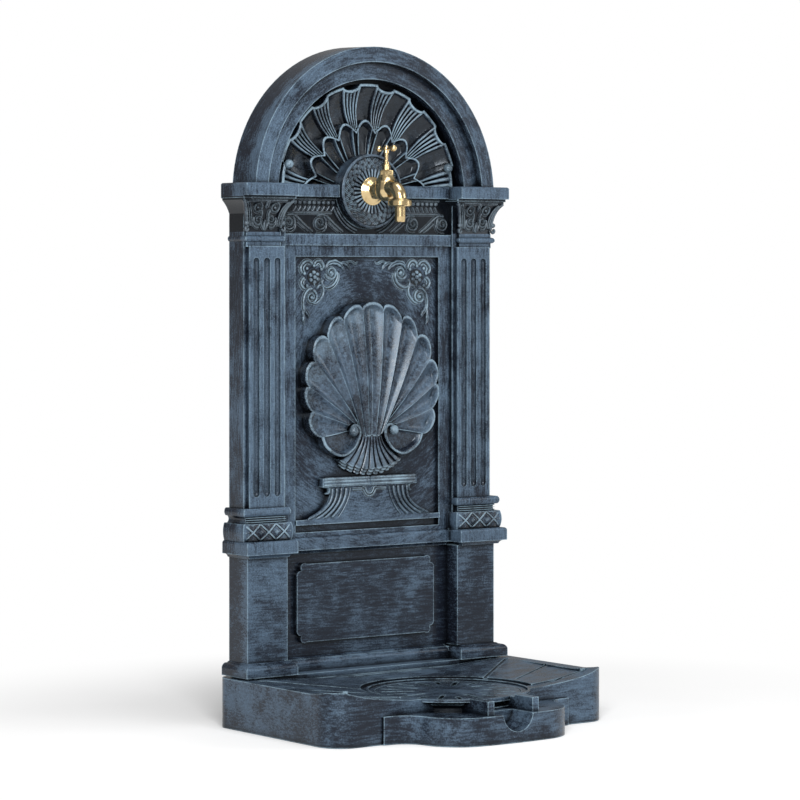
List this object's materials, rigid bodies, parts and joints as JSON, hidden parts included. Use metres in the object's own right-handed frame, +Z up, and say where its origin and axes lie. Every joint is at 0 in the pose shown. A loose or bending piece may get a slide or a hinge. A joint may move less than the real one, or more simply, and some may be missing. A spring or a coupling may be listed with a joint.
{
  "type": "garden wall fountain",
  "caption": "Antique-style garden wall fountain: arched column with a scallop shell, brass tap on a rosette, and a drain basin with a round grate and a front spout.",
  "frame": {"origin": "middle of the base on the ground, under the centre of the whole object's box", "axes": "+Z up, -Y to the front (spout and tap), +X to the right of someone who faces the fountain"},
  "size_m": [0.383, 0.3332, 0.7628],
  "materials": {
    "patinated_plastic": "near-black slate with a dry-brushed steel-blue patina",
    "dark_plastic": "plain satin black",
    "polished_brass": "polished",
    "zinc_steel": "zinc plated",
    "black_rubber": "matt"
  },
  "bodies": {
    "stand": {"basin": "patinated_plastic", "column_front": "patinated_plastic", "back_panel": "dark_plastic", "tympanum_relief": "patinated_plastic", "tap_rosette": "patinated_plastic", "scallop_shell": "patinated_plastic", "column_screws": "zinc_steel", "panel_screws": "zinc_steel", "relief_screws": "zinc_steel", "tap_body": "polished_brass", "flange_gasket": "black_rubber", "back_washer": "polished_brass", "back_nut": "polished_brass", "inlet_nipple": "polished_brass", "inlet_seal": "black_rubber", "bonnet": "polished_brass", "bonnet_washer": "black_rubber", "gland_nut": "polished_brass", "gland_packing": "black_rubber"},
    "grate": {"drain_grate": "patinated_plastic"},
    "valve": {"jumper": "polished_brass", "valve_washer": "black_rubber"},
    "handle": {"spindle": "polished_brass", "tee_handle": "polished_brass", "handle_screw": "polished_brass"},
    "outlet": {"hose_tail": "polished_brass", "tail_seal": "black_rubber"},
    "ring": {"union_nut": "polished_brass"}
  },
  "joints": [
    {"name": "grate_lift", "type": "slide", "parent": "stand", "child": "grate", "axis": [0, 0, 1], "range_m": [0, 0.06]},
    {"name": "jumper_rise", "type": "slide", "parent": "stand", "child": "valve", "axis": [0, 0, 1], "range_m": [0, 0.0035]},
    {"name": "spindle_turn", "type": "hinge", "parent": "valve", "child": "handle", "pos_m": [0, 0.07175, 0.645], "axis": [0, 0, 1], "range_deg": [0, 720]},
    {"name": "tail_drop", "type": "slide", "parent": "stand", "child": "outlet", "axis": [0, 0, -1], "range_m": [0, 0.00544]},
    {"name": "union_turn", "type": "hinge", "parent": "outlet", "child": "ring", "pos_m": [0, 0.04565, 0.582], "axis": [0, 0, -1], "range_deg": [0, 1080]}
  ],
  "couplings": [
    {"joint": "jumper_rise", "follows": "spindle_turn", "m_per_rad": 0.00027852},
    {"joint": "tail_drop", "follows": "union_turn", "m_per_rad": 0.00028871}
  ]
}
